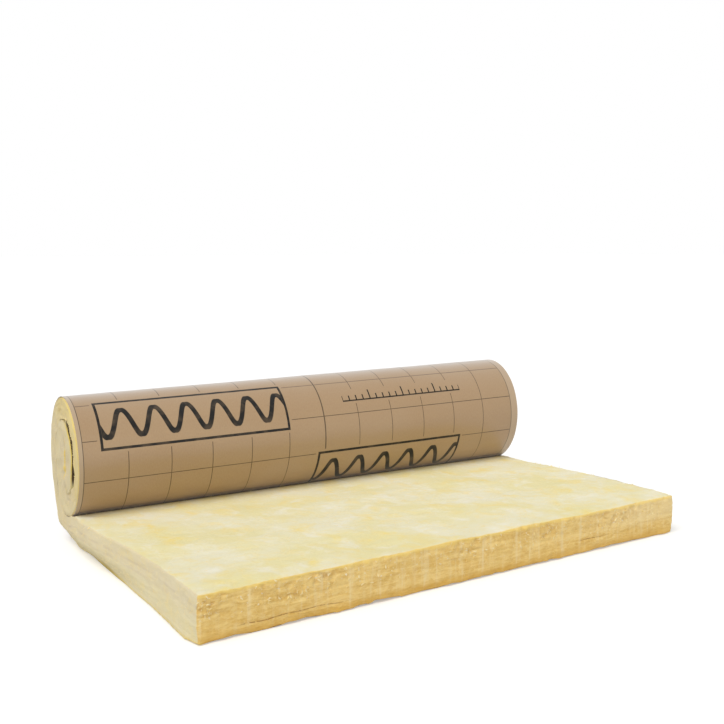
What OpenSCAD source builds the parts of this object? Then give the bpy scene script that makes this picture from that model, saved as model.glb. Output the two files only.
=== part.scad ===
// Partly unrolled roll of glass wool insulation with a kraft paper facing.
// One mat lies flat with its wool up, runs under the roll, bends up behind it and winds inwards.
// The roll lies a little askew on the flat stretch, and has slipped to the left on it.
// X runs along the roll, +Y from the cut front edge to the back of the roll, +Z up from the floor.
// All sizes are in millimetres.

/* [Mat] */
// Width of the mat, along the roll
mat_w = 1200; // [600:10:1500]
// Thickness of the loose wool in the flat stretch
mat_t = 89; // [82:1:140]
// Thickness of the wool where the roll sits on it
seat_t = 72; // [55:1:80]
// Distance from the cut front edge to the middle of the roll
flat_l = 655; // [450:5:900]

/* [Roll] */
// Height of the outer turn
roll_h = 270; // [250:2:320]
// Depth of the outer turn, front to back
roll_d = 238; // [226:2:300]
// Thickness of the wool in a turn of the roll
turn_t = 47; // [38:1:50]
// Slack between one turn and the next
slack = 2; // [1:0.5:4]
// Number of turns from the back of the roll to the inner end of the mat
turns = 1.7; // [1.55:0.05:1.75]
// Thickness of the wool at its inner end, where it is pinched
end_t = 29; // [20:1:32]
// How far the inner fold leans towards the front
fold_lean = 11; // [0:1:16]

/* [Lie of the roll] */
// How much nearer to the front edge the roll's right end lies than its left end
askew = 42; // [0:2:60]
// How far the roll has slipped to the left
slip = 30; // [0:2:40]
// How much higher the roll stands at its right end than in its middle
rise = 5; // [0:1:8]

/* [Facing] */
// Thickness of the kraft paper with its adhesive
kraft_t = 0.8; // [0.4:0.1:1.5]

/* [Hidden] */

wool_colour = "#e6d79f";
kraft_colour = "#b3966b";

// Angles run from the back of the roll over its top: back 0, top 90, front 180, bottom 270
turn_angle = 360;
bottom_angle = 270;
front_angle = 180;
bend_start = bottom_angle - turn_angle;
end_angle = turn_angle * turns;
arc_step = 6;
// Angle by which the slot round the cut inner end runs past it
end_room = 4;

// Half sizes of the outer turn, and what each turn takes off them
half_h = roll_h / 2;
half_d = roll_d / 2;
pitch = turn_t + kraft_t + slack;

// Heights of the flat stretch, of the roll's middle and of its top
mat_top = kraft_t + mat_t;
roll_z = kraft_t + seat_t + slack + kraft_t + half_h;
roll_top = roll_z + half_h;
depth = flat_l + half_d + kraft_t;

// The turn tucks in on top of the flat stretch at this angle
tuck_angle = front_angle + asin((roll_z - mat_top) / (half_h + kraft_t + slack));

// Fold at the core, where the innermost turn closes on itself
fold_top = [flat_l - fold_lean - slack, roll_z + half_h - pitch - turn_t];
fold_foot = [flat_l - slack, roll_z - half_h + pitch + end_t];
fold_slope = fold_lean / (fold_top[1] - fold_foot[1]);

// The sections go up the fold's back side from where its line meets the outer turn to where it meets the inner one
fold_room = 2;
foot_reach = fold_slope * (fold_foot[1] - roll_z + half_h) - slack;
top_reach = fold_slope * turn_t + fold_lean + slack;
foot_angle = bottom_angle + asin(foot_reach / half_d) + fold_room;
top_angle = turn_angle + 90 + asin(top_reach / (half_d - pitch)) - fold_room;

// The flat stretch starts to follow the roll's lie at this share of its length
lean_start = 0.3;
flat_steps = 10;
// The roll has slipped in full at this share of the mat's thickness
slip_share = 0.55;
// Turn of the roll on the floor, as a slope
turned = askew / mat_w;
middle = [(slip + turned * (half_d + kraft_t)) / 2, -depth / 2, 0];

// Smooth step from 0 to 1
function eased(x) = let (c = min(max(x, 0), 1)) c * c * (3 - 2 * c);

// Turns wound inside the outer one at an angle: each is gained between the bottom and the back
function wound(a) =
    let (whole = floor(a / turn_angle), part = a - whole * turn_angle)
    whole + eased((part - bottom_angle) / (turn_angle - bottom_angle));

// Point on the wool's outer face at an angle, moved outwards by grow
function turn_point(a, grow) = [
    flat_l + (half_d - pitch * wound(a) + grow) * cos(a),
    roll_z + (half_h - pitch * wound(a) + grow) * sin(a)
];

// Point on the bend that leads from the floor to the back of the roll
function bend_point(a, grow) = [
    flat_l + (half_d + grow) * cos(a),
    roll_z + (roll_z - kraft_t + grow) * sin(a)
];

// Point on the wool's bare face under the next turn at an angle
function under_point(a) = turn_point(a + turn_angle, kraft_t + slack);

// Point on the fold at the core, at a share of its height, on its back side, 1, or its front side, -1
function fold_point(up, side) = fold_foot + (fold_top - fold_foot) * up + [side * slack / 2, 0];

// Share of the way from one angle to another
function share_of(a, from, to) = (a - from) / (to - from);

// Angles from one to another in an even number of steps of about arc_step, without the first
function next_angles(from, to) =
    let (n = 2 * max(1, round(abs(to - from) / arc_step / 2)))
    [for (i = [1:n]) from + (to - from) * i / n];

// Sections through the mat: its outer paper face, its faced side, its bare side, and its share in the roll's lie
tuck_y = under_point(tuck_angle - turn_angle)[0];
last_under = end_angle - turn_angle + end_room;
flat_sections = [
    for (i = [0:flat_steps])
        let (share = i / flat_steps, y = tuck_y * share)
        [[y, 0], [y, kraft_t], [y, mat_top], eased((share - lean_start) / (1 - lean_start))]
];
seat_sections = [
    for (a = next_angles(tuck_angle - turn_angle, bend_start))
        let (bare = under_point(a))
        [[bare[0], 0], [bare[0], kraft_t], bare, 1]
];
bend_sections = [
    for (a = next_angles(bend_start, 0))
        [bend_point(a, kraft_t), bend_point(a, 0), under_point(a), 1]
];
turn_sections = [
    for (a = next_angles(0, last_under))
        [turn_point(a, kraft_t), turn_point(a, 0), under_point(a), 1]
];
slot_sections = [
    for (a = next_angles(last_under, foot_angle))
        let (from = under_point(last_under), to = fold_point(0, 1))
        [turn_point(a, kraft_t), turn_point(a, 0), from + (to - from) * share_of(a, last_under, foot_angle), 1]
];
rise_sections = [
    for (a = next_angles(foot_angle, top_angle))
        [turn_point(a, kraft_t), turn_point(a, 0), fold_point(share_of(a, foot_angle, top_angle), 1), 1]
];
fall_sections = [
    for (a = next_angles(top_angle, end_angle))
        [turn_point(a, kraft_t), turn_point(a, 0), fold_point(share_of(a, end_angle, top_angle), -1), 1]
];
sections = concat(
    flat_sections, seat_sections, bend_sections, turn_sections, slot_sections, rise_sections, fall_sections
);

// Place of a point of the winding at the roll's left end, side -1, or its right end, side 1, as the roll lies
function lies(p, lean, side) =
    let (
        x = side * mat_w / 2,
        slid = slip * eased(p[1] / (slip_share * mat_top)),
        raised = rise * side * max(0, p[1] - mat_top) / (roll_top - mat_top)
    )
    middle + [
        x + lean * (turned * (p[0] - flat_l) - slid),
        p[0] - lean * turned * (x + mat_w / 2),
        p[1] + lean * raised
    ];

// Two triangles over four corners
function patch(a, b, c, d) = [[a, b, c], [a, c, d]];

// Lofts the strip between two of the sections' points from the roll's left end to its right end
module loft(outer, inner) {
    last = len(sections) - 1;
    points = [
        for (s = sections)
            each [
                lies(s[outer], s[3], -1), lies(s[inner], s[3], -1),
                lies(s[outer], s[3], 1), lies(s[inner], s[3], 1)
            ]
    ];
    start_face = patch(0, 1, 3, 2);
    end_face = patch(4 * last, 4 * last + 2, 4 * last + 3, 4 * last + 1);
    strips = [
        for (i = [0:last - 1])
            let (n = 4 * i, m = n + 4)
            each concat(
                patch(n, n + 2, m + 2, m), patch(n + 1, m + 1, m + 3, n + 3),
                patch(n, m, m + 1, n + 1), patch(n + 2, n + 3, m + 3, m + 2)
            )
    ];
    polyhedron(points, concat(start_face, end_face, strips), convexity = 8);
}

module wool_mat() {
    color(wool_colour)
        loft(1, 2);
}

module kraft_facing() {
    color(kraft_colour)
        loft(0, 1);
}

wool_mat();
kraft_facing();
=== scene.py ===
# Partly unrolled glass wool roll with a kraft paper facing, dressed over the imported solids.
# Lengths are in metres. X runs along the roll, +Y from the cut front edge to the roll, +Z up.
import math
from collections import namedtuple

import bmesh
import bpy
from mathutils import Euler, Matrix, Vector, noise


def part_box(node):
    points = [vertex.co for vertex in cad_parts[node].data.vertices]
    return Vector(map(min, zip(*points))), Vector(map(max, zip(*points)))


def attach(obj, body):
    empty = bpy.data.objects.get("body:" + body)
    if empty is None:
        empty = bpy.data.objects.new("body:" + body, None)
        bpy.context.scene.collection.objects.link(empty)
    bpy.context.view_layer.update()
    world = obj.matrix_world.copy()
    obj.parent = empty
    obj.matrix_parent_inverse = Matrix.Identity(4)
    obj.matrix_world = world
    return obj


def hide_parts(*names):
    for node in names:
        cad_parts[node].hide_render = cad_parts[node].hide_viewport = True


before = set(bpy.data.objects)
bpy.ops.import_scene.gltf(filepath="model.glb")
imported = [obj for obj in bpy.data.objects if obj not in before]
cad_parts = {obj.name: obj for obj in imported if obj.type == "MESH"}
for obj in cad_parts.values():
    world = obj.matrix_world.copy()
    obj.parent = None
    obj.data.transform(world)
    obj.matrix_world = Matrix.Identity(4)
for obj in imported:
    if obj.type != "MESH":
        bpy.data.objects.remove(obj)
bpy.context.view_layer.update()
BODY = "root"

# Sizes of the mat and the roll, as in the part's source
WOOL_LOW, WOOL_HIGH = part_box("wool_mat")
FRONT_Y = WOOL_LOW.y
KRAFT_T = WOOL_LOW.z
MAT_W = 1.2
MAT_T = 0.089
SEAT_T = 0.072
ROLL_H = 0.270
ROLL_D = 0.238
TURN_T = 0.047
SLACK = 0.002
END_ANGLE = 612.0
END_T = 0.029
FOLD_LEAN = 0.011
END_ROOM = 4.0
FOLD_ROOM = 2.0

HALF_H = ROLL_H / 2
HALF_D = ROLL_D / 2
MAT_TOP = KRAFT_T + MAT_T
ROLL_Y = WOOL_HIGH.y - HALF_D
ROLL_Z = KRAFT_T + SEAT_T + SLACK + KRAFT_T + HALF_H
ROLL_TOP = ROLL_Z + HALF_H
PITCH = TURN_T + KRAFT_T + SLACK
FOLD_TOP = (ROLL_Y - FOLD_LEAN - SLACK, ROLL_Z + HALF_H - PITCH - TURN_T)
FOLD_FOOT = (ROLL_Y - SLACK, ROLL_Z - HALF_H + PITCH + END_T)
FOLD_SLOPE = FOLD_LEAN / (FOLD_TOP[1] - FOLD_FOOT[1])
FOOT_REACH = FOLD_SLOPE * (FOLD_FOOT[1] - ROLL_Z + HALF_H) - SLACK
TOP_REACH = FOLD_SLOPE * TURN_T + FOLD_LEAN + SLACK
FOOT_ANGLE = 270 + math.degrees(math.asin(FOOT_REACH / HALF_D)) + FOLD_ROOM
TOP_ANGLE = 450 + math.degrees(math.asin(TOP_REACH / (HALF_D - PITCH))) - FOLD_ROOM
TUCK_ANGLE = 180 + math.degrees(math.asin((ROLL_Z - MAT_TOP) / (HALF_H + KRAFT_T + SLACK)))

# Lie of the roll, as in the part's source: askew, slipped to the left, and higher at its right end
ASKEW = 0.042
TURNED = ASKEW / MAT_W
SLIP = 0.030
SLIP_SHARE = 0.55
RISE = 0.005
# The flat stretch starts to follow the roll's lie at this share of its length
LEAN_START = 0.3
MIDDLE_X = (SLIP + TURNED * (HALF_D + KRAFT_T)) / 2
# The soft roll is pressed a little shorter towards its right end
SQUEEZE = 0.007
# The paper stops this far inside the wool's edges: outside the roll, within it and under the flat stretch
PAPER_INSET = 0.002
INNER_INSET = 0.012
FOOT_INSET = 0.022
# Angles over which the paper leaves the floor, and goes inside the roll
LEAVES_FLOOR = (-75, -40)
GOES_INSIDE = (300, 380)
# The outer turn has come away from the next one at the front of the roll's ends, between these angles
GAP_OPENS = (84, 125)
GAP_CLOSES = (198, 236)
GAP_OUT = 0.011
GAP_IN = 0.012
GAP_REACH = 0.120
# The corners beside that gap are drawn back: how far, how near the ends, and at which depths
GAP_CORNER = 0.003
CORNER_REACH = 0.022
OUTER_CORNER_FROM = 0.72
INNER_CORNER_TO = 0.12
INNER_CORNER_SHARE = 0.3
# Elsewhere the turns press together this close, within this distance from the ends
SHUT_GAP = 0.0003
SHUT_BAND = (0.0005, 0.0035)
# Rows of the flat stretch, from its front edge to the roll, closer together at the front
FLAT_ROWS = 105
ROW_CROWDING = 1.12
# The paper starts at this row, behind the ragged front edge
PAPER_FROM = 8
# Steps between the other sections, in degrees: along the turns, and at the core
TURN_STEP = 4
CORE_STEP = 5


# Winding of the mat

def smooth(low, high, value):
    """Smooth step from 0 at low to 1 at high."""
    c = min(max((value - low) / (high - low), 0.0), 1.0)
    return c * c * (3 - 2 * c)


def bell(value, middle, half):
    """Bell curve: 1 at its middle, and about a third at the half width from there."""
    return math.exp(-((value - middle) / half) ** 2)


def hump(value, height, rises, falls):
    """Smooth hump of a height, which rises over one range of a value and falls over another."""
    return height * smooth(*rises, value) * (1 - smooth(*falls, value))


def wound(angle):
    """Turns wound inside the outer one: each is gained between the bottom and the back."""
    whole = math.floor(angle / 360)
    return whole + smooth(270, 360, angle - 360 * whole)


def turn_point(angle, grow):
    """Point on the wool's faced side at an angle: back 0, top 90, front 180, bottom 270."""
    less = grow - PITCH * wound(angle)
    a = math.radians(angle)
    return ROLL_Y + (HALF_D + less) * math.cos(a), ROLL_Z + (HALF_H + less) * math.sin(a)


def bend_point(angle, grow):
    """Point on the bend from the floor to the back of the roll."""
    a = math.radians(angle)
    return ROLL_Y + (HALF_D + grow) * math.cos(a), ROLL_Z + (ROLL_Z - KRAFT_T + grow) * math.sin(a)


def under_point(angle):
    """Point on the wool's bare side, under the next turn."""
    return turn_point(angle + 360, KRAFT_T + SLACK)


def opened(angle):
    """How far the outer turn has come away from the next one at an angle, 0 to 1."""
    return hump(angle, 1.0, GAP_OPENS, GAP_CLOSES)


def fold_point(up, side):
    """Point on the core's fold at a share of its height, on its back, side 1, or its front, side -1."""
    y = FOLD_FOOT[0] + (FOLD_TOP[0] - FOLD_FOOT[0]) * up + side * SLACK / 2
    return y, FOLD_FOOT[1] + (FOLD_TOP[1] - FOLD_FOOT[1]) * up


def spread(low, high, step):
    """Even values from low to high, both included, about step apart."""
    n = max(1, round(abs(high - low) / step))
    return [low + (high - low) * i / n for i in range(n + 1)]


def stepped(low, high):
    """Angles of the core after low up to high, each with its share of the way."""
    return [(angle, (angle - low) / (high - low)) for angle in spread(low, high, CORE_STEP)[1:]]


def between(a, b, share):
    """Point at a share of the way from one point to another."""
    return tuple(p + (q - p) * share for p, q in zip(a, b))


Station = namedtuple("Station", "faced bare paper run lean angle covered")


def stations():
    """Sections through the mat, from the cut front edge to its inner end."""
    found = []
    tuck_y = turn_point(TUCK_ANGLE, KRAFT_T + SLACK)[0]
    length = tuck_y - FRONT_Y
    for share in spread(0, 1, 1 / (FLAT_ROWS - 1)):
        y = FRONT_Y + length * share ** ROW_CROWDING
        found.append(((y, KRAFT_T), (y, MAT_TOP), (y, 0.0), 0.0, False))
    for angle in spread(TUCK_ANGLE - 360, -90, TURN_STEP)[1:]:
        bare = under_point(angle)
        found.append(((bare[0], KRAFT_T), bare, (bare[0], 0.0), angle, True))
    for angle in spread(-90, 0, TURN_STEP)[1:]:
        found.append((bend_point(angle, 0), under_point(angle), bend_point(angle, KRAFT_T), angle, True))
    last_under = END_ANGLE - 360 + END_ROOM
    for angle in spread(0, last_under, TURN_STEP)[1:]:
        found.append((turn_point(angle, 0), under_point(angle), turn_point(angle, KRAFT_T), angle, True))
    start = found[-1][1]
    to_fold = stepped(last_under, FOOT_ANGLE)
    core = [(angle, between(start, fold_point(0, 1), share)) for angle, share in to_fold]
    core += [(angle, fold_point(share, 1)) for angle, share in stepped(FOOT_ANGLE, TOP_ANGLE)]
    core += [(angle, fold_point(1 - share, -1)) for angle, share in stepped(TOP_ANGLE, END_ANGLE)]
    for angle, bare in core:
        found.append((turn_point(angle, 0), bare, turn_point(angle, KRAFT_T), angle, False))
    runs = [0.0]
    for before, after in zip(found, found[1:]):
        runs.append(runs[-1] + math.dist(before[2], after[2]))
    lean_from = LEAN_START * length
    return [
        Station(faced, bare, paper, run, smooth(lean_from, length, run), angle, covered)
        for (faced, bare, paper, angle, covered), run in zip(found, runs)
    ]


def grain(a, b, size_a, size_b, seed):
    """Smooth noise of two lengths, with its own size along each."""
    return noise.noise((a / size_a, b / size_b, seed))


def settled(x, y, z, lean):
    """Moves a point of the straight winding to where it lies with the roll."""
    across = 2 * x / MAT_W
    slid = SLIP * smooth(0.0, SLIP_SHARE * MAT_TOP, z) + SQUEEZE * max(0.0, across)
    raised = RISE * across * max(0.0, z - MAT_TOP) / (ROLL_TOP - MAT_TOP)
    return (MIDDLE_X + x + lean * (TURNED * (y - ROLL_Y) - slid),
            y - lean * TURNED * (x + MAT_W / 2), z + lean * raised)


def pushed_in(s, end):
    """How far the inner turn's faced side has sunk in at a distance from the roll's end."""
    return GAP_IN * opened(s.angle - 360) * (1 - smooth(0, GAP_REACH, end))


def mat_point(s, share, x):
    """Place of a point of the wool at a station, a share of the depth and a place across."""
    y = s.faced[0] + (s.bare[0] - s.faced[0]) * share
    z = s.faced[1] + (s.bare[1] - s.faced[1]) * share
    end = MAT_W / 2 - abs(x)
    near_end = 1 - smooth(*SHUT_BAND, end)
    gap = opened(s.angle)
    a = math.radians(s.angle)
    push = -pushed_in(s, end) * (1 - share) ** 2
    if s.covered:
        ragged = 0.85 + 0.7 * grain(s.run, x, 0.014, 1.0, 21.0) + 0.4 * grain(s.run, x, 0.05, 1.0, 25.0)
        room = SLACK + (KRAFT_T if x < 0 else 0) - SHUT_GAP
        open_push = GAP_OUT * gap * ragged * (1 - smooth(0, GAP_REACH, end))
        push += (open_push - room * (1 - gap) * near_end) * share ** 2
    y += push * math.cos(a)
    z += push * math.sin(a)
    if s.angle == END_ANGLE:
        y -= (SLACK - SHUT_GAP) * near_end * math.sin(a)
        z += (SLACK - SHUT_GAP) * near_end * math.cos(a)
    corner = gap * smooth(OUTER_CORNER_FROM, 1.0, share)
    corner += INNER_CORNER_SHARE * opened(s.angle - 360) * (1 - smooth(0.0, INNER_CORNER_TO, share))
    x -= math.copysign(GAP_CORNER * corner * max(0.0, 1 - end / CORNER_REACH), x)
    return settled(x, y, z, s.lean)


def off_floor(s):
    """How far the paper has left the floor, 0 under the flat stretch to 1 round the roll."""
    return smooth(*LEAVES_FLOOR, s.angle) if s.covered or s.angle > 0 else 0.0


def paper_point(s, across):
    """Place of a point of the paper's outer face at a station and a share across it, -1 to 1."""
    inset = PAPER_INSET + (INNER_INSET - PAPER_INSET) * smooth(*GOES_INSIDE, s.angle)
    inset += (FOOT_INSET - PAPER_INSET) * (1 - off_floor(s))
    x = across * (MAT_W / 2 - inset)
    push = -pushed_in(s, MAT_W / 2 - abs(x))
    a = math.radians(s.angle)
    return settled(x, s.paper[0] + push * math.cos(a), s.paper[1] + push * math.sin(a), s.lean)


STATIONS = stations()
# The print is measured along the sheet from the top of the roll
TOP_RUN = next(s.run for s in STATIONS if s.angle >= 90)


# Helpers for meshes and node trees

def new_object(name, data):
    """New object in the scene."""
    made = bpy.data.objects.new(name, data)
    bpy.context.scene.collection.objects.link(made)
    return made


def new_piece(name, mesh):
    """Shows a mesh as a piece that moves with the part."""
    piece = new_object(name, mesh)
    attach(piece, BODY)
    return piece


def srgb(colour):
    """Linear colour of a screen colour given in 0 to 255."""
    def line(v):
        v /= 255
        return v / 12.92 if v <= 0.04045 else ((v + 0.055) / 1.055) ** 2.4
    return *(line(v) for v in colour), 1.0


class Tree:
    """Short words to build a node tree."""

    def __init__(self, tree):
        self.tree = tree

    def add(self, kind, settings=(), **inputs):
        """New node with its settings, and with its inputs by name."""
        node = self.tree.nodes.new(kind)
        for key, value in dict(settings).items():
            setattr(node, key, value)
        return self.put(node, **inputs)

    def put(self, node, **inputs):
        """Feeds a node's inputs by name."""
        for key, value in inputs.items():
            self.feed(node.inputs[key.replace("_", " ")], value)
        return node

    def fill(self, node, *values, start=0):
        """Feeds a node's inputs in their order."""
        for socket, value in zip(node.inputs[start:], values):
            self.feed(socket, value)
        return node

    def feed(self, socket, value):
        """Links a socket to another one or to a node's first output, or sets it to a value."""
        if isinstance(value, bpy.types.Node):
            value = value.outputs[0]
        if isinstance(value, bpy.types.NodeSocket):
            self.tree.links.new(value, socket)
        else:
            socket.default_value = value

    def math(self, operation, a, b=0.0):
        """Result of an operation on one or two numbers."""
        return self.fill(self.add("ShaderNodeMath", {"operation": operation}), a, b).outputs[0]

    def times(self, a, b):
        """Product of two numbers."""
        return self.math("MULTIPLY", a, b)

    def minus(self, a, b):
        """Difference of two numbers."""
        return self.math("SUBTRACT", a, b)

    def vector(self, operation, a, b):
        """Result of an operation on two vectors."""
        return self.fill(self.add("ShaderNodeVectorMath", {"operation": operation}), a, b).outputs[0]

    def noise(self, coords, scale, detail=2.0, rough=0.5, distortion=0.0):
        """Noise with its own scale along each axis."""
        scaled = self.vector("MULTIPLY", coords, scale)
        node = self.add("ShaderNodeTexNoise", Vector=scaled, Scale=1.0, Detail=detail, Roughness=rough,
                        Distortion=distortion)
        return node.outputs["Fac"]

    def attribute(self, name):
        """Vector that the mesh holds under a name."""
        return self.add("ShaderNodeAttribute", {"attribute_name": name}).outputs["Vector"]

    def split(self, value):
        """The three numbers of a vector."""
        return tuple(self.add("ShaderNodeSeparateXYZ", Vector=value).outputs)

    def step(self, value, low, high, out_low=0.0, out_high=1.0):
        """Smooth step from one result at low to another at high."""
        node = self.add("ShaderNodeMapRange", {"interpolation_type": "SMOOTHSTEP"}, Value=value,
                        From_Min=low, From_Max=high, To_Min=out_low, To_Max=out_high)
        return node.outputs["Result"]

    def within(self, distance, reach, blur):
        """1 where a distance is below a reach and 0 beyond, with a soft edge."""
        return self.step(distance, reach - blur, reach + blur, 1.0, 0.0)

    def patches(self, coords, scale, low, high, *look):
        """Mask of noise that shows from a low level and is full from a high one."""
        return self.step(self.noise(coords, scale, *look), low, high)

    def mix(self, share, a, b):
        """Colour at a share of the way from one colour to another."""
        node = self.fill(self.add("ShaderNodeMix", {"data_type": "RGBA"}), share)
        return self.fill(node, a, b, start=6).outputs[2]

    def tint(self, base, mask, strength, colour):
        """Colour with a screen colour laid over it through a mask, at a strength."""
        return self.mix(self.times(mask, strength), base, srgb(colour))

    def bump(self, shader, height, strength, distance):
        """Gives a shader a fine grain."""
        node = self.add("ShaderNodeBump", Strength=strength, Distance=distance, Height=height)
        self.put(shader, Normal=node.outputs["Normal"])


def new_material(name, **inputs):
    """Material, its tree, and its shader with its inputs set by name."""
    material = bpy.data.materials.new(name)
    material.use_nodes = True
    t = Tree(material.node_tree)
    return material, t, t.put(t.tree.nodes["Principled BSDF"], **inputs)


# Materials

# Screen colours of the wool's loose top, its front cut, and its sides with the roll's ends
WOOL_TOP = {
    "pale": (243, 237, 206), "warm": (240, 230, 176), "white": (250, 246, 230), "yellow": (248, 224, 122),
    "streak": (245, 226, 146), "thread": (251, 247, 230),
}
WOOL_FRONT = {
    "dark": (226, 187, 104), "light": (251, 221, 147), "mottle": (252, 227, 156), "blotch": (220, 174, 86),
    "saw": (253, 238, 194), "faded": (250, 233, 186), "fleck": (253, 245, 222), "skin": (247, 217, 126),
    "foot": (222, 175, 72),
}
WOOL_SIDE = {
    "dark": (228, 215, 171), "light": (233, 222, 183), "upper": (232, 216, 186), "blotch": (240, 220, 150),
    "grey": (216, 200, 176), "seam": (204, 184, 158), "roll end": (212, 192, 150), "foot": (240, 214, 134),
}
BINDER_YELLOW = (243, 214, 108)
# Painted shade inside the front cut's cracks, which are also dented into the surface
CRACK_SHADE_BROWN = (166, 112, 48)
# Painted shade inside the gaps between turns, in the crease at the bend and next to the roll
PAINTED_SHADE_BROWN = (66, 40, 20)
TUFT_DARK, TUFT_LIGHT = (245, 219, 148), (252, 236, 190)
# Seams of the sides: share of the depth and strength, and how far they wave up and down
SEAMS = ((0.58, 0.25), (0.74, 0.32))
SEAM_WAVE = 0.10


def wool_top(t, place):
    """Colour of the loose top: pale, with yellow patches, streaks and threads."""
    cloud = t.patches(place, (5, 6, 0), 0.36, 0.62, 3)
    patch = t.patches(place, (17, 14, 0), 0.46, 0.78, 5, 0.62, 0.5)
    pale = t.patches(t.vector("ADD", place, (7.7, 0, 0)), (17, 15, 0), 0.48, 0.70, 5, 0.62, 0.5)
    streak = t.patches(place, (30, 90, 0), 0.46, 0.72, 5, 0.65, 0.4)
    thread = t.patches(place, (70, 240, 0), 0.50, 0.72, 4, 0.7, 0.6)
    colour = t.mix(cloud, srgb(WOOL_TOP["pale"]), srgb(WOOL_TOP["warm"]))
    for mask, strength, name in ((pale, 0.60, "white"), (patch, 0.75, "yellow"), (streak, 0.35, "streak"),
                                 (thread, 0.25, "thread")):
        colour = t.tint(colour, mask, strength, WOOL_TOP[name])
    return colour


def wool_front(t, place, layered, blotch):
    """Colour of the front cut: golden layers with saw marks, paler at the upper right, darker at the foot."""
    across, _, depth = t.split(place)
    mottle = t.patches(place, (110, 110, 140), 0.40, 0.66, 4, 0.65, 0.6)
    saw = t.patches(place, (76, 76, 6), 0.48, 0.72, 4, 0.6)
    fleck = t.patches(place, (120, 120, 150), 0.60, 0.70, 3, 0.6)
    upper = t.step(depth, 0.3 * MAT_T, 0.6 * MAT_T)
    faded = t.step(across, 0.20, 0.55, 0.0, 0.45)
    ragged = t.math("ADD", depth, t.times(t.noise(place, (60, 60, 90), 3), 0.016))
    skin = t.step(ragged, MAT_T - 0.001, MAT_T + 0.004)
    foot = t.step(ragged, 0.012, 0.032, 1.0, 0.0)
    colour = t.mix(layered, srgb(WOOL_FRONT["dark"]), srgb(WOOL_FRONT["light"]))
    flecks = t.times(fleck, upper)
    for mask, strength, name in ((mottle, 0.40, "mottle"), (blotch, 0.40, "blotch"), (saw, 0.45, "saw"),
                                 (upper, faded, "faded"), (flecks, 0.75, "fleck"), (skin, 0.65, "skin"),
                                 (foot, 0.60, "foot")):
        colour = t.tint(colour, mask, strength, WOOL_FRONT[name])
    return colour


def wool_side(t, place, layered, blotch):
    """Colour of the sides and the roll's ends: pale layers with greyish seams, yellow at the foot."""
    _, run, depth = t.split(place)
    upper = t.step(depth, 0.4 * MAT_T, 0.7 * MAT_T)
    grey = t.patches(place, (26, 26, 60), 0.50, 0.72, 3, 0.6, 0.8)
    colour = t.mix(layered, srgb(WOOL_SIDE["dark"]), srgb(WOOL_SIDE["light"]))
    for mask, strength, name in ((upper, 0.35, "upper"), (blotch, 0.40, "blotch"), (grey, 0.18, "grey")):
        colour = t.tint(colour, mask, strength, WOOL_SIDE[name])
    for height, strength in SEAMS:
        wave = t.times(t.noise(place, (9, 9, 0), 3, 0.6), SEAM_WAVE * MAT_T)
        off = t.minus(t.math("ADD", depth, wave), (height + SEAM_WAVE / 2) * MAT_T)
        seam = t.step(t.math("ABSOLUTE", off), 0.0004, 0.0042, strength, 0.0)
        kept = t.patches(place, (22, 22, height), 0.40, 0.62, 2)
        colour = t.tint(colour, seam, kept, WOOL_SIDE["seam"])
    colour = t.mix(t.step(run, 0.50, 0.70, 0.0, 0.35), colour, srgb(WOOL_SIDE["roll end"]))
    frayed = t.math("ADD", depth, t.times(t.noise(place, (40, 40, 0), 3), 0.010))
    foot = t.step(frayed, 0.006, 0.016, 0.6, 0.0)
    return t.tint(colour, foot, t.step(run, 0.45, 0.60, 1.0, 0.0), WOOL_SIDE["foot"])


def wool_material():
    """Glass wool: pale streaked top, golden layered cuts, yellow where the paper is stuck on, painted shade
    in crevices.
    """
    material, t, shader = new_material("glass_wool", Roughness=0.95, Specular_IOR_Level=0.1,
                                       Sheen_Weight=0.10, Sheen_Roughness=0.6)
    place = t.attribute("mat")
    front_cut, side_cut, rim = t.split(t.attribute("zone"))
    crack_off, crack_open, gap_shade = t.split(t.attribute("tear_and_shade"))

    lamina = t.times(t.noise(place, (34, 34, 190), 4, 0.65, 0.9), 0.55)
    band = t.times(t.noise(place, (5, 5, 60), 2, 0.5, 0.5), 0.45)
    layered = t.step(t.math("ADD", lamina, band), 0.36, 0.64)
    blotch = t.patches(place, (36, 36, 50), 0.46, 0.72, 4, 0.6, 0.5)
    colour = t.mix(side_cut, wool_top(t, place), wool_side(t, place, layered, blotch))
    colour = t.mix(front_cut, colour, wool_front(t, place, layered, blotch))

    stuck = t.step(t.noise(place, (50, 50, 50), 3), 0.25, 0.5, 0.55, 0.95)
    colour = t.tint(colour, rim, stuck, BINDER_YELLOW)
    # Painted shade in the front cut's cracks, in broken stretches
    broken = t.patches(place, (70, 70, 0), 0.36, 0.52, 3)
    crack = t.times(t.step(t.math("ABSOLUTE", crack_off), 0.0003, 0.0016, 1.0, 0.0), crack_open)
    colour = t.tint(colour, t.times(crack, broken), 0.75, CRACK_SHADE_BROWN)
    # Painted shade: dark brown inside the gaps between turns, in the crease at the bend and next to the roll
    colour = t.mix(t.step(gap_shade, 0.10, 0.60, 0.0, 0.95), colour, srgb(PAINTED_SHADE_BROWN))
    t.put(shader, Base_Color=colour)

    fibre = t.times(t.noise(place, (170, 420, 420), 5, 0.7), 0.7)
    fluff = t.noise(place, (60, 60, 130), 4, 0.7)
    t.bump(shader, t.math("ADD", fibre, fluff), strength=0.6, distance=0.004)
    return material


def tuft_material():
    """Pale torn fibre that stands out of the cut faces."""
    material, t, shader = new_material("torn_fibre", Roughness=0.9, Specular_IOR_Level=0.15)
    coords = t.add("ShaderNodeTexCoord").outputs["Object"]
    tone = t.patches(coords, (70, 70, 70), 0.35, 0.65, 2)
    t.put(shader, Base_Color=t.mix(tone, srgb(TUFT_DARK), srgb(TUFT_LIGHT)))
    return material


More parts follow.
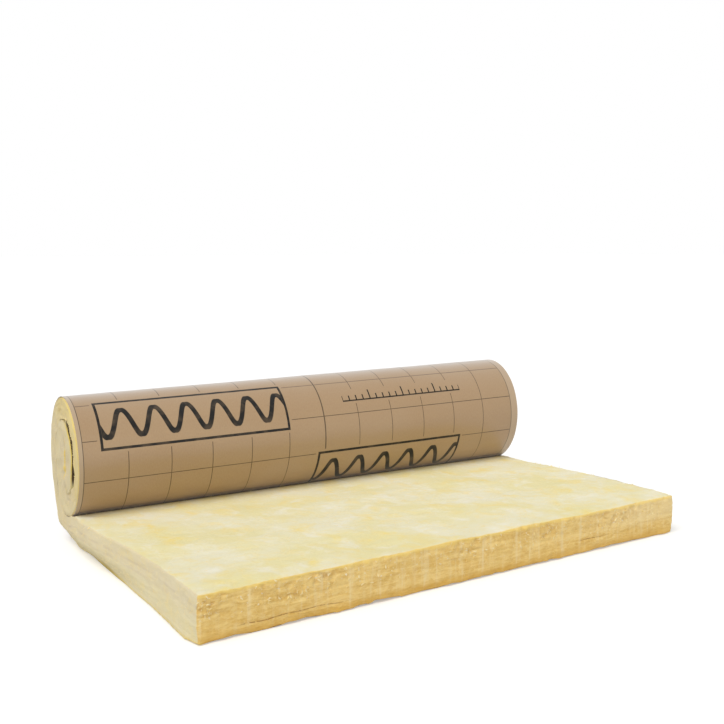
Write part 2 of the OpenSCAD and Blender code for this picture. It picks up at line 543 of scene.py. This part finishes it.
# Screen colours of the kraft paper and its ink
PAPER_DARK, PAPER_LIGHT = (164, 133, 96), (170, 141, 105)
PAPER_CLOUD, PAPER_EDGE = (176, 151, 121), (180, 156, 127)
INK = (16, 15, 13)
# Printed grid of the facing: the width of its lines, the mean of the bare strips beside it, and its cells
GRID_LINE = 0.0017
MIDDLE_LINE = 0.0030
EDGE_LINE_IN = 0.0180
# The grid is printed this far to the left of the paper's middle
GRID_SHIFT = 0.0065
CELLS_ACROSS = 12
CELL_ACROSS = (MAT_W - 2 * EDGE_LINE_IN) / CELLS_ACROSS
CELL_ALONG = 0.090
GRID_START = 0.0545
GRID_STRENGTH = 0.75
# Printed panels with a bold wave: middle across and along, and half sizes
WAVE_PANELS = ((-0.325, 0.108, 0.225, 0.060), (0.190, 0.290, 0.215, 0.060))
PANEL_FRAME = 0.0060
WAVE_LENGTH = 0.075
WAVE_LINE = 0.012
WAVE_SWING = 0.52
# Printed scale: middle across and along, half sizes, and the ticks
SCALE = (0.235, 0.100, 0.180, 0.014)
TICK_LINE = 0.0036
TICK_GAP = 0.020
LONG_TICK_GAP = 0.100
SHORT_TICK = 0.55
# Soft edges of the print: of boxes and short ticks, and of all lines as shares of their width
BOX_BLUR = 0.0003
SHORT_BLUR = 0.00025
GRID_REACH, GRID_BLUR = 0.525, 0.225
WAVE_BLUR = 0.05
TICK_BLUR = 0.08
BASE_BLUR = 0.10


class PrintBox:
    """Printed box on the paper, with a point's distances from its middle."""

    def __init__(self, t, across, along, middle_x, middle_y, half_x, half_y):
        self.t = t
        self.half_x = half_x
        self.half_y = half_y
        self.off_x = t.minus(across, middle_x)
        self.off_y = t.minus(along, middle_y)

    def within(self, less):
        """1 within the box made smaller on all sides, and 0 outside."""
        t = self.t
        past_x = t.minus(t.math("ABSOLUTE", self.off_x), self.half_x - less)
        past_y = t.minus(t.math("ABSOLUTE", self.off_y), self.half_y - less)
        return t.within(t.math("MAXIMUM", past_x, past_y), 0.0, BOX_BLUR)


def wave_ink(t, box):
    """Ink of a framed panel with a bold wave."""
    inside = box.within(PANEL_FRAME)
    turns = 2 * math.pi / WAVE_LENGTH
    swing = WAVE_SWING * box.half_y
    phase = t.times(box.off_x, turns)
    gone = t.minus(box.off_y, t.times(t.math("SINE", phase), swing))
    slope = t.times(t.math("COSINE", phase), swing * turns)
    steep = t.math("SQRT", t.math("ADD", t.times(slope, slope), 1.0))
    nearest = t.math("DIVIDE", t.math("ABSOLUTE", gone), steep)
    wave = t.within(nearest, WAVE_LINE / 2, WAVE_LINE * WAVE_BLUR)
    frame_ink = t.minus(box.within(0.0), inside)
    return t.math("MAXIMUM", frame_ink, t.times(wave, inside))


def scale_ink(t, box):
    """Ink of a scale: a base line with short and long ticks."""
    def ticks(gap):
        return t.within(t.math("PINGPONG", box.off_x, gap / 2), TICK_LINE / 2, TICK_LINE * TICK_BLUR)

    rise = t.minus(box.half_y, box.off_y)
    base = t.within(rise, TICK_LINE, TICK_LINE * BASE_BLUR)
    low = t.within(rise, 2 * box.half_y * SHORT_TICK + SHORT_BLUR, SHORT_BLUR)
    marks = t.math("MAXIMUM", t.times(ticks(TICK_GAP), low), ticks(LONG_TICK_GAP))
    return t.times(t.math("MAXIMUM", base, marks), box.within(0.0))


def grid_ink(t, across, along):
    """Ink of the grid with its edge lines and bold middle line, and 1 between the edge lines."""
    def line(value, width):
        return t.within(t.math("ABSOLUTE", value), width * GRID_REACH, width * GRID_BLUR)

    printed = t.math("ADD", across, GRID_SHIFT)
    from_middle = t.math("ABSOLUTE", printed)
    edge_line = MAT_W / 2 - EDGE_LINE_IN
    inside = t.step(from_middle, edge_line - 0.001, edge_line, 1.0, 0.0)
    lengthwise = line(t.math("PINGPONG", printed, CELL_ACROSS / 2), GRID_LINE)
    crosswise = line(t.math("PINGPONG", t.minus(along, GRID_START), CELL_ALONG / 2), GRID_LINE)
    grid = t.times(t.math("MAXIMUM", lengthwise, crosswise), inside)
    edge = line(t.minus(from_middle, edge_line), GRID_LINE)
    ink = t.math("MAXIMUM", grid, t.math("MAXIMUM", edge, line(printed, MIDDLE_LINE)))
    return t.times(ink, GRID_STRENGTH), inside


def kraft_material():
    """Kraft paper with a printed grid, two wave panels and a scale. Bare paper has a thin gloss."""
    material, t, shader = new_material("kraft_paper", Roughness=0.32, Specular_IOR_Level=0.25,
                                       Sheen_Weight=1.0, Sheen_Roughness=0.32, Coat_Roughness=0.30)
    place = t.attribute("sheet")
    across, along, _ = t.split(place)
    ink, inside = grid_ink(t, across, along)
    boxes = [(PrintBox(t, across, along, *panel), wave_ink) for panel in WAVE_PANELS]
    boxes.append((PrintBox(t, across, along, *SCALE), scale_ink))
    for box, drawn in boxes:
        free = t.minus(1.0, box.within(-PANEL_FRAME))
        ink = t.math("MAXIMUM", t.times(ink, free), drawn(t, box))
    wear = t.step(t.noise(place, (40, 40, 1), 3), 0.25, 0.6, 0.86, 1.0)
    inked = t.times(ink, wear)

    pulp = t.noise(place, (420, 160, 1), 4, 0.65)
    cloud = t.noise(place, (5, 7, 1), 3, 0.5)
    paper = t.mix(t.step(pulp, 0.3, 0.7), srgb(PAPER_DARK), srgb(PAPER_LIGHT))
    paper = t.mix(t.step(cloud, 0.3, 0.75, 0.0, 0.25), paper, srgb(PAPER_CLOUD))
    paper = t.mix(t.minus(1.0, inside), paper, srgb(PAPER_EDGE))
    t.put(shader, Base_Color=t.mix(inked, paper, srgb(INK)), Coat_Weight=t.minus(1.0, inked))

    creased = t.noise(place, (22, 9, 1), 4, 0.6)
    t.bump(shader, t.math("ADD", t.times(pulp, 0.12), creased), strength=0.18, distance=0.003)
    return material


def emptied(owner):
    """Emptied node tree of a material or a world."""
    owner.use_nodes = True
    owner.node_tree.nodes.clear()
    return Tree(owner.node_tree)


def shown_share(t):
    """1 for rays that show the backdrop, seen or mirrored, and 0 for rays that light the part."""
    seen = t.add("ShaderNodeLightPath").outputs
    mirrored = t.math("MAXIMUM", seen["Is Glossy Ray"], seen["Is Transmission Ray"])
    return t.math("MAXIMUM", seen["Is Camera Ray"], mirrored)


def floor_material():
    """Plain pale floor that shows white and keeps the shadow."""
    material = bpy.data.materials.new("floor")
    t = emptied(material)
    diffuse = t.add("ShaderNodeBsdfDiffuse", Color=(0.80, 0.80, 0.80, 1.0))
    glow = t.add("ShaderNodeEmission", Strength=t.times(shown_share(t), 0.30))
    both = t.fill(t.add("ShaderNodeAddShader"), diffuse, glow)
    t.add("ShaderNodeOutputMaterial", Surface=both)
    return material


# Glass wool mat

FINE_COLUMNS = 320
DEPTH_ROWS = 32
# Columns of the wound stretch, as numbers of the fine ones: close together near the ends only
END_COLUMNS = (0, 1, 2, 3, 5, 8, 12, 18, 26)


def roll_columns():
    """Numbers of the columns that the wound stretch keeps."""
    inner = range(END_COLUMNS[-1] + 10, FINE_COLUMNS - END_COLUMNS[-1], 10)
    return sorted({*END_COLUMNS, *inner, *(FINE_COLUMNS - c for c in END_COLUMNS)})


# Cracks in the front cut: where each starts and ends across the mat, and its height
CRACKS = ((-0.535, -0.27, 0.0195), (0.285, 0.41, 0.031))
CRACK_DEPTH = 0.0025
CRACK_WIDE = 0.0022
# Lengths over which a crack opens and closes
CRACK_OPENS = 0.03
CRACK_CLOSES = 0.09


def crack_at(x, z):
    """Height of a point of the front cut over the crack there, and how far it has opened."""
    for start, end, height in CRACKS:
        open_share = hump(x, 1.0, (start, start + CRACK_OPENS), (end - CRACK_CLOSES, end))
        if open_share > 0:
            wave = 0.0010 * math.sin(31 * x + 1) + 0.0008 * math.sin(83 * x)
            return z - height - wave, open_share
    return MAT_T, 0.0


# Waves of noise on each kind of face: height, size along the face's two directions, and seed
TOP_WAVES = ((0.0030, 0.16, 0.10, 1.3), (0.0015, 0.055, 0.020, 5.7), (0.0008, 0.022, 0.008, 9.1))
FRONT_WAVES = ((0.0012, 0.07, 0.006, 2.2), (0.0022, 0.13, 0.05, 4.4), (0.0009, 0.008, 0.09, 6.6))
SIDE_WAVES = ((0.0030, 0.22, 0.09, 0), (0.0009, 0.07, 0.007, 2), (0.0010, 0.011, 0.020, 4))
# The seeds of the sides are counted on from these
LEFT_SEED, RIGHT_SEED = 11.0, 17.0
# The top edge of the front cut is scalloped, its torn places are this deep, and the roll's ends are lumpy
SCALLOP = 0.0030
TORN_DEPTH = 0.0050
LUMPS = 0.0045


def relief(waves, a, b, seed=0.0):
    """Height of waves of noise at a place."""
    return sum(height * grain(a, b, size_a, size_b, own + seed) for height, size_a, size_b, own in waves)


# Torn places of the front cut: middle across and half width, and shares of the depth where they start and end
TORN_PLACES = ((-0.575, 0.035), (-0.385, 0.10), (-0.02, 0.05), (0.21, 0.05), (0.42, 0.09))
TORN_FROM, TORN_TO = (0.42, 0.62), (0.90, 0.98)


def torn_share(x, share):
    """How much the front cut is torn at a place across and a share of the depth, 0 to 1."""
    near = max(bell(x, middle, half) for middle, half in TORN_PLACES)
    return hump(share, near, TORN_FROM, TORN_TO)


def front_relief(x, z):
    """How far the front cut stands out: its layers and saw marks, less its torn places and cracks."""
    share = z / MAT_T
    scallop = SCALLOP * smooth(0.80, 0.97, share) * grain(x, 0, 0.012, 1.0, 41.0)
    torn = smooth(0.05, 0.45, grain(x, z, 0.014, 0.009, 8.8)) * torn_share(x, share)
    off, open_share = crack_at(x, z)
    crack = CRACK_DEPTH * open_share * bell(off, 0.0, CRACK_WIDE)
    return relief(FRONT_WAVES, x, z) + scallop - TORN_DEPTH * torn - crack


def side_relief(run, depth, side, lean):
    """How far a side stands out: smoother along the flat stretch than on the roll's ends."""
    seed = LEFT_SEED if side < 0 else RIGHT_SEED
    lumps = LUMPS * lean * smooth(0.0, 0.3, depth / MAT_T) * grain(run, depth, 0.040, 0.040, seed + 6)
    return relief(SIDE_WAVES, run, depth, seed) + lumps


# A ragged lower edge stands off the floor by long and short waves, this high
LONG_LIFT, SHORT_LIFT = 0.007, 0.005


def foot_lift(along):
    """How far a ragged lower edge stands off the floor."""
    long_wave = max(0.0, grain(along, 0, 0.05, 1, 13.5))
    return LONG_LIFT * long_wave + SHORT_LIFT * max(0.0, grain(along, 0, 0.016, 1, 15.5))


# The right edge of the flat stretch draws in: how far, where along it, and over which half width
EDGE_DIP, EDGE_DIP_AT, EDGE_DIP_WIDE = 0.016, 0.15, 0.075
# The lower left edge spreads near the front corner, draws in further back and swells under the roll
SPREAD_OUT, SPREAD_AT, SPREAD_WIDE = 0.010, 0.06, 0.14
SPREAD_STARTS = (-0.010, 0.050)
DRAW_IN, DRAW_AT, DRAW_WIDE = 0.007, 0.47, 0.12
SWELL_OUT, SWELL_AT, SWELL_WIDE = 0.007, 0.64, 0.045
# These moves end at this share of the depth
LOWER_SHARE = 0.7


def left_edge(run, share):
    """How far the left side stands out at a place along it and a share of the depth."""
    spread_out = SPREAD_OUT * smooth(*SPREAD_STARTS, run) * bell(run, SPREAD_AT, SPREAD_WIDE)
    draw_in = DRAW_IN * bell(run, DRAW_AT, DRAW_WIDE)
    swell_out = SWELL_OUT * bell(run, SWELL_AT, SWELL_WIDE)
    return (spread_out - draw_in + swell_out) * (1 - smooth(0.0, LOWER_SHARE, share))


def wool_mesh():
    """Closed mesh of the mat: two broad sides, two ends, its front cut and its inner end."""
    columns = [-MAT_W / 2 + MAT_W * i / FINE_COLUMNS for i in range(FINE_COLUMNS + 1)]
    every = list(range(FINE_COLUMNS + 1))
    coarse = roll_columns()
    bm = bmesh.new()
    layers = [bm.verts.layers.float_vector.new(name) for name in ("mat", "zone", "tear_and_shade")]
    layers += [bm.verts.layers.float.new(name) for name in ("tufts", "fuzz")]
    made = {}

    def vert(row, level, column):
        """Vertex at a station, a level of the depth and a column, made once."""
        key = (row, level, column)
        if key not in made:
            made[key] = bm.verts.new(mat_point(STATIONS[row], level / DEPTH_ROWS, columns[column]))
        return made[key]

    def face(ring, flip):
        bm.faces.new(ring[::-1] if flip else ring)

    def broad_side(level, fine_rows, flip):
        """Faces over all stations at one level, with fine columns on the first rows only."""
        for row in range(len(STATIONS) - 1):
            near = every if row < fine_rows else coarse
            far = every if row + 1 < fine_rows else coarse
            for low, high in zip(far, far[1:]):
                near_side = [vert(row, level, c) for c in near if low <= c <= high]
                face(near_side + [vert(row + 1, level, high), vert(row + 1, level, low)], flip)

    def end_face(column, flip):
        """Faces over all stations and levels at one end."""
        for row in range(len(STATIONS) - 1):
            for level in range(DEPTH_ROWS):
                face([vert(row, level, column), vert(row, level + 1, column),
                      vert(row + 1, level + 1, column), vert(row + 1, level, column)], flip)

    def cut_face(row, used, flip):
        """Faces over the width and depth at one station."""
        for low, high in zip(used, used[1:]):
            for level in range(DEPTH_ROWS):
                face([vert(row, level, low), vert(row, level, high),
                      vert(row, level + 1, high), vert(row, level + 1, low)], flip)

    broad_side(DEPTH_ROWS, FLAT_ROWS, False)
    broad_side(0, 1, True)
    end_face(0, True)
    end_face(FINE_COLUMNS, False)
    cut_face(0, every, False)
    cut_face(len(STATIONS) - 1, coarse, True)
    bmesh.ops.recalc_face_normals(bm, faces=bm.faces)
    soften_edges(bm, {v for (row, level, _), v in made.items() if pressed(STATIONS[row], level)})
    roughen(made, columns, *layers)
    mesh = bpy.data.meshes.new("wool_mat")
    bm.to_mesh(mesh)
    bm.free()
    return mesh


def pressed(s, level):
    """Whether a point lies where two turns of the roll are pressed together."""
    if level == DEPTH_ROWS:
        return s.covered and opened(s.angle) < 0.05
    return s.angle == END_ANGLE or level == 0 and s.angle >= 360 and opened(s.angle - 360) < 0.05


# Strength of the yellow rim on inner turns at the gap and on the outer turn, where it goes over these angles
INNER_RIM, OUTER_RIM = 1.2, 0.65
RIM_GOES = (235, 255)
# Yellower end of the outer turn, and painted shade in the crease at the bend: strength, and angles where they
# come and go
WARM_END = (0.35, (30, 80), (200, 250))
CREASE_SHADE = (0.35, (-75, -60), (-40, -20))
# Painted shadow on the flat stretch next to the roll, by rows from it
CONTACT_SHADES = {0: 0.70, 1: 0.40, 2: 0.21, 3: 0.15}


# Edges sharper than this angle are rounded, with neighbours this many edges away, in this many passes
SHARP_ANGLE = 0.6
SOFT_REACH = 2
SOFT_PASSES = 4


def soften_edges(bm, held):
    """Rounds the mat's sharp edges, apart from the held vertices."""
    sharp = {v for e in bm.edges if e.calc_face_angle(0) > SHARP_ANGLE for v in e.verts} - held
    for _ in range(SOFT_REACH):
        sharp |= {e.other_vert(v) for v in sharp for e in v.link_edges}
    sharp = list(sharp - held)
    for _ in range(SOFT_PASSES):
        bmesh.ops.smooth_vert(bm, verts=sharp, factor=0.5, use_axis_x=True, use_axis_y=True, use_axis_z=True)


# The loose top settles from this share of the flat rows on, towards the roll
TOP_SETTLES = 0.80
# Foot of a cut face: its share of the depth, how far the front's is drawn back, and the sides' share of lift
FOOT_SHARE = 0.22
FRONT_FOOT_BACK = 0.004
SIDE_FOOT_LIFT = 0.6
# How thickly tufts and loose fibres grow on each kind of place
TORN_TUFTS, FRONT_TUFTS, GAP_TUFTS, EDGE_TUFTS = 0.9, 0.05, 2.5, 0.30
TOP_FUZZ, FRONT_FUZZ, SIDE_FUZZ, EDGE_FUZZ = 0.05, 0.6, 0.2, 1.0
# Neither grows below this share of the depth or this height over the floor
BARE_SHARE = 0.15
BARE_HEIGHT = 0.022
# The binder's yellow reaches this far in from the ends, less on the inner turns, and this many levels up
RIM_REACH = 0.008
INNER_RIM_REACH = 0.001
RIM_LEVELS = 2.5
# The fold at the core is yellow above this share of the depth
FOLD_FROM = 0.92
FOLD_YELLOW = 0.8


def yellow_at(s, level, x, on_side):
    """How much of the binder's yellow shows at a point of the wool."""
    if s.angle >= 360:
        strength, reach = INNER_RIM * opened(s.angle - 360), INNER_RIM_REACH
    else:
        strength, reach = OUTER_RIM * (1 - smooth(*RIM_GOES, s.angle)), RIM_REACH
    rim = max(0.0, 1 - level / RIM_LEVELS) * strength * (MAT_W / 2 - abs(x) < reach)
    fold = on_side and not s.covered and s.angle > 0 and level / DEPTH_ROWS > FOLD_FROM
    return max(rim, FOLD_YELLOW * fold, hump(s.angle, *WARM_END) * on_side)


def roughen(made, columns, mat_layer, zone_layer, tear_layer, tuft_layer, fuzz_layer):
    """Gives the faces their relief, and the vertices what the materials and the tufts need."""
    last = len(STATIONS) - 1
    for (row, level, column), v in made.items():
        s = STATIONS[row]
        x = columns[column]
        share = level / DEPTH_ROWS
        depth = MAT_T * share
        flat = 1 - s.lean
        low = 1 - smooth(0.0, FOOT_SHARE, share)
        on_front = row == 0
        on_side = column in (0, FINE_COLUMNS)
        on_top = level == DEPTH_ROWS and row < FLAT_ROWS
        under_front = level == 0 and row < PAPER_FROM
        within = s.covered and level == DEPTH_ROWS or s.angle > 360 and level == 0
        crack_off, crack_open, gap_shade, tufts, fuzz = MAT_T, 0.0, 0.0, 0.0, 0.0
        if on_top:
            v.co.z += relief(TOP_WAVES, x, s.run) * (1 - smooth(TOP_SETTLES, 1.0, row / FLAT_ROWS))
            fuzz = TOP_FUZZ
            # Painted shadow where the roll sits on the flat stretch
            gap_shade = CONTACT_SHADES.get(FLAT_ROWS - 1 - row, 0.0)
        if on_front:
            v.co.y -= front_relief(x, depth) - low * FRONT_FOOT_BACK * (0.4 + grain(x, 0, 0.03, 1, 15.5))
            crack_off, crack_open = crack_at(x, depth)
            clumps = smooth(-0.3, 0.3, grain(x, depth, 0.025, 0.015, 31.0))
            tufts = TORN_TUFTS * torn_share(x, share) * clumps
            tufts += FRONT_TUFTS * smooth(0.25, 0.5, share)
            fuzz = FRONT_FUZZ
        if row < PAPER_FROM and not on_top:
            v.co.z += low * foot_lift(x) * (1 - smooth(0.0, STATIONS[PAPER_FROM].run, s.run))
        if on_side:
            out = side_relief(s.run, depth, x, s.lean)
            if x > 0:
                out -= flat * EDGE_DIP * bell(s.run, EDGE_DIP_AT, EDGE_DIP_WIDE)
            else:
                out += left_edge(s.run, share)
            v.co.x += out if x > 0 else -out
            v.co.z += flat * low * SIDE_FOOT_LIFT * foot_lift(s.run)
            tufts = GAP_TUFTS * opened(s.angle) * smooth(0.85, 0.97, share)
            fuzz = SIDE_FUZZ
        if on_top and (on_front or on_side):
            tufts, fuzz = EDGE_TUFTS, EDGE_FUZZ
        # Painted shade: in the crease at the bend on the sides, and inside the gap between the turns
        # elsewhere
        if within:
            gap_shade = hump(s.angle, *CREASE_SHADE) if on_side else opened(s.angle % 360)
        if share < BARE_SHARE or v.co.z < BARE_HEIGHT:
            tufts, fuzz = 0.0, 0.0
        v[mat_layer] = (x, s.run, depth)
        on_cut = on_front or under_front
        v[zone_layer] = (float(on_cut), float(on_side or row == last), yellow_at(s, level, x, on_side))
        v[tear_layer] = (crack_off, crack_open, gap_shade)
        v[tuft_layer] = tufts
        v[fuzz_layer] = fuzz


def build_wool(material):
    """The glass wool mat as a piece, in place of the imported one."""
    mesh = wool_mesh()
    mesh.materials.append(material)
    for face in mesh.polygons:
        face.use_smooth = True
    wool = new_piece("wool_mat_dressed", mesh)
    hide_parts("wool_mat")
    return wool


# Torn tufts and loose fibres on the wool

def curled_flake(t):
    """Small lens of torn wool, a unit long, curled up at its ends."""
    lens = t.add("GeometryNodeMeshUVSphere", Segments=8, Rings=5, Radius=0.5)
    spot = t.split(t.add("GeometryNodeInputPosition"))
    curl = t.times(t.times(spot[0], spot[0]), 0.9)
    twist = t.times(t.times(spot[0], spot[1]), 0.8)
    height = t.math("ADD", t.math("ADD", curl, twist), t.times(spot[2], 0.18))
    bent = t.add("ShaderNodeCombineXYZ", X=spot[0], Y=t.times(spot[1], 0.34), Z=height)
    return t.add("GeometryNodeSetPosition", Geometry=lens, Position=bent)


def loose_fibre(t):
    """Thin bent fibre, a unit long."""
    path = t.add("GeometryNodeCurveQuadraticBezier", Resolution=4, Start=(0, 0, -0.05),
                 Middle=(0.1, 0.05, 0.55), End=(0.7, 0, 0.6))
    ring = t.add("GeometryNodeCurvePrimitiveCircle", Resolution=3, Radius=0.018)
    return t.add("GeometryNodeCurveToMesh", Curve=path, Profile_Curve=ring, Fill_Caps=True)


def new_maker(name, inputs):
    """New node tree that shapes a surface, and its given values."""
    t = Tree(bpy.data.node_groups.new(name, "GeometryNodeTree"))
    t.tree.interface.new_socket("Geometry", in_out="OUTPUT", socket_type="NodeSocketGeometry")
    for key, kind in {"Surface": "Geometry", **inputs}.items():
        t.tree.interface.new_socket(key, in_out="INPUT", socket_type="NodeSocket" + kind)
    return t, t.add("NodeGroupInput").outputs


def finish_maker(t, shaped, material):
    """Ends a node tree: instances are made real, shaded smooth and given their material."""
    whole = t.add("GeometryNodeRealizeInstances", Geometry=shaped)
    rounded = t.add("GeometryNodeSetShadeSmooth", Geometry=whole)
    painted = t.add("GeometryNodeSetMaterial", Geometry=rounded, Material=material)
    t.add("NodeGroupOutput", Geometry=painted)
    return t.tree


# Sizes of what is strewn: number to the square metre, shortest, longest and tilt
STREWN_SIZES = ("Density", "Shortest", "Longest", "Tilt")


def scatter_tree(name, weight, shape, material):
    """Node tree that strews a shape over a surface, thickest where a weight is high."""
    t, given = new_maker(name, {**dict.fromkeys(STREWN_SIZES, "Float"), "Seed": "Int"})
    named = t.add("GeometryNodeInputNamedAttribute", {"data_type": "FLOAT"}, Name=weight)
    thick = t.times(named, given["Density"])
    seed = given["Seed"]
    points = t.add("GeometryNodeDistributePointsOnFaces", Mesh=given["Surface"], Density=thick, Seed=seed)
    back = t.times(given["Tilt"], -1.0)
    least = t.add("ShaderNodeCombineXYZ", X=back, Y=back, Z=-math.pi)
    most = t.add("ShaderNodeCombineXYZ", X=given["Tilt"], Y=given["Tilt"], Z=math.pi)
    turn = t.fill(t.add("FunctionNodeRandomValue", {"data_type": "FLOAT_VECTOR"}, Seed=seed), least, most)
    size = t.add("FunctionNodeRandomValue", {"data_type": "FLOAT"}, Seed=t.math("ADD", seed, 1.0))
    t.fill(size, given["Shortest"], given["Longest"], start=2)
    tilted = t.add("FunctionNodeEulerToRotation", Euler=turn)
    facing = t.add("FunctionNodeRotateRotation", {"rotation_space": "LOCAL"}, Rotate_By=tilted,
                   Rotation=points.outputs["Rotation"])
    strewn = t.add("GeometryNodeInstanceOnPoints", Points=points, Instance=shape(t), Rotation=facing,
                   Scale=size.outputs[1])
    return finish_maker(t, strewn, material)


def made_by_nodes(name, mesh, tree, values):
    """Plain mesh that a node tree makes from a mesh and values."""
    maker = new_object(name + "_maker", mesh)
    nodes = maker.modifiers.new(name, "NODES")
    nodes.node_group = tree
    for socket in tree.interface.items_tree:
        if socket.name in values:
            nodes[socket.identifier] = values[socket.name]
    depsgraph = bpy.context.evaluated_depsgraph_get()
    made = bpy.data.meshes.new_from_object(maker.evaluated_get(depsgraph))
    made.name = name
    bpy.data.objects.remove(maker)
    return made


def build_scattered(name, wool, weight, shape, material, **values):
    """Piece of small things strewn over the wool."""
    tree = scatter_tree(name, weight, shape, material)
    new_piece(name, made_by_nodes(name, wool.data.copy(), tree, values))


# Kraft facing

SHEET_COLUMNS = 81
# The last columns are this narrow, so that the paper stays flat up to its edges
HEM = 0.0008
RIPPLE = 0.0014
# Share of the thickness of paper and adhesive that shows as paper
PAPER_WALL = 0.6


def ripple_tree(material):
    """Node tree that ripples a guide surface outwards, like paper stuck on wool."""
    t, given = new_maker("rippled_paper", {"Ripple": "Float"})
    where = t.add("GeometryNodeInputNamedAttribute", {"data_type": "FLOAT_VECTOR"}, Name="sheet")
    wave = t.noise(where, (7, 16, 0), 2)
    pucker = t.times(t.noise(where, (24, 11, 0), 2), 0.5)
    lift = t.times(t.math("ADD", wave, pucker), t.split(where)[2])
    outward = t.add("ShaderNodeVectorMath", {"operation": "SCALE"}, Scale=t.times(lift, given["Ripple"]))
    t.fill(outward, t.add("GeometryNodeInputNormal"))
    rippled = t.add("GeometryNodeSetPosition", Geometry=given["Surface"], Offset=outward)
    return finish_maker(t, rippled, material)


def paper_guide():
    """Plain surface along the paper's outer face, which faces outwards."""
    hem = 1 - HEM / (MAT_W / 2)
    across = [-1, -hem, *spread(-1, 1, 2 / (SHEET_COLUMNS - 1))[1:-1], hem, 1]
    wide = len(across)
    used = STATIONS[PAPER_FROM:]
    points = [paper_point(s, share) for s in used for share in across]
    quads = []
    for row in range(len(used) - 1):
        for column in range(wide - 1):
            corner = row * wide + column
            quads.append((corner, corner + wide, corner + wide + 1, corner + 1))
    guide = bpy.data.meshes.new("kraft_guide")
    guide.from_pydata(points, [], quads)
    told = guide.attributes.new("sheet", "FLOAT_VECTOR", "POINT")
    half = MAT_W / 2 - PAPER_INSET
    values = []
    for s in used:
        for share in across:
            values += (share * half, s.run - TOP_RUN, off_floor(s))
    told.data.foreach_set("vector", values)
    return guide


def build_kraft(material):
    """The kraft facing: one sheet under the flat stretch and outside each turn."""
    mesh = made_by_nodes("kraft_facing", paper_guide(), ripple_tree(material), {"Ripple": RIPPLE})
    kraft = new_piece("kraft_facing_dressed", mesh)
    wall = kraft.modifiers.new("thickness", "SOLIDIFY")
    wall.thickness = KRAFT_T * PAPER_WALL
    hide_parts("kraft_facing")


# Stage

# Each lamp: strength, how wide its light is in degrees, where it comes from, and its colour
LAMPS = {
    "key": (1.72, 36, (-0.46, -0.18, 0.84), (1.0, 1.0, 1.0)),
    "fill": (0.80, 90, (-0.25, -0.95, 0.03), (1.0, 0.87, 0.66)),
}
WORLD_LIGHT = 0.46
WHITE = (1.0, 1.0, 1.0, 1.0)
FLOOR_HALF = 60.0
# Camera: its place from the middle of the mat's cut front edge at floor level, and its turn in degrees
CAMERA_PLACE = (-1.216, -1.451, 0.669)
CAMERA_TURN = (83.17, 0.0, -33.07)
CAMERA_SENSOR = 36.0
CAMERA_LENS = 47.87


def build_floor():
    """Wide plain floor under the part."""
    mesh = bpy.data.meshes.new("floor")
    corners = [(FLOOR_HALF * x, FLOOR_HALF * y, 0) for x, y in ((-1, -1), (1, -1), (1, 1), (-1, 1))]
    mesh.from_pydata(corners, [], [(0, 1, 2, 3)])
    mesh.materials.append(floor_material())
    floor = new_object("floor", mesh)


def build_world():
    """Even light from all round, which shows white."""
    world = bpy.data.worlds.new("studio")
    bpy.context.scene.world = world
    t = emptied(world)
    light = t.add("ShaderNodeBackground", Strength=WORLD_LIGHT, Color=WHITE)
    white = t.add("ShaderNodeBackground", Strength=1.0, Color=WHITE)
    both = t.fill(t.add("ShaderNodeMixShader"), shown_share(t), light, white)
    t.add("ShaderNodeOutputWorld", Surface=both)


def build_lamps():
    """Distant lamps."""
    for name, (strength, wide, source, colour) in LAMPS.items():
        lamp = bpy.data.lights.new(name, "SUN")
        lamp.energy = strength
        lamp.angle = math.radians(wide)
        lamp.color = colour
        new_object(name, lamp).rotation_euler = Vector(source).to_track_quat("Z", "Y").to_euler()


def build_camera():
    """Camera where the photo was taken from, and the plain view of colours."""
    lens = bpy.data.cameras.new("camera")
    lens.sensor_width = CAMERA_SENSOR
    lens.lens = CAMERA_LENS
    camera = new_object("camera", lens)
    camera.location = Vector((MIDDLE_X, FRONT_Y, 0.0)) + Vector(CAMERA_PLACE)
    camera.rotation_euler = Euler([math.radians(v) for v in CAMERA_TURN])
    bpy.context.scene.camera = camera
    bpy.context.scene.view_settings.view_transform = "Standard"


build_floor()
build_world()
build_lamps()
build_camera()
wool = build_wool(wool_material())
torn = tuft_material()
build_scattered("wool_tufts", wool, "tufts", curled_flake, torn,
                Density=16000.0, Shortest=0.003, Longest=0.010, Tilt=0.5, Seed=4)
build_scattered("wool_fibres", wool, "fuzz", loose_fibre, torn,
                Density=24000.0, Shortest=0.004, Longest=0.011, Tilt=0.9, Seed=9)
build_kraft(kraft_material())
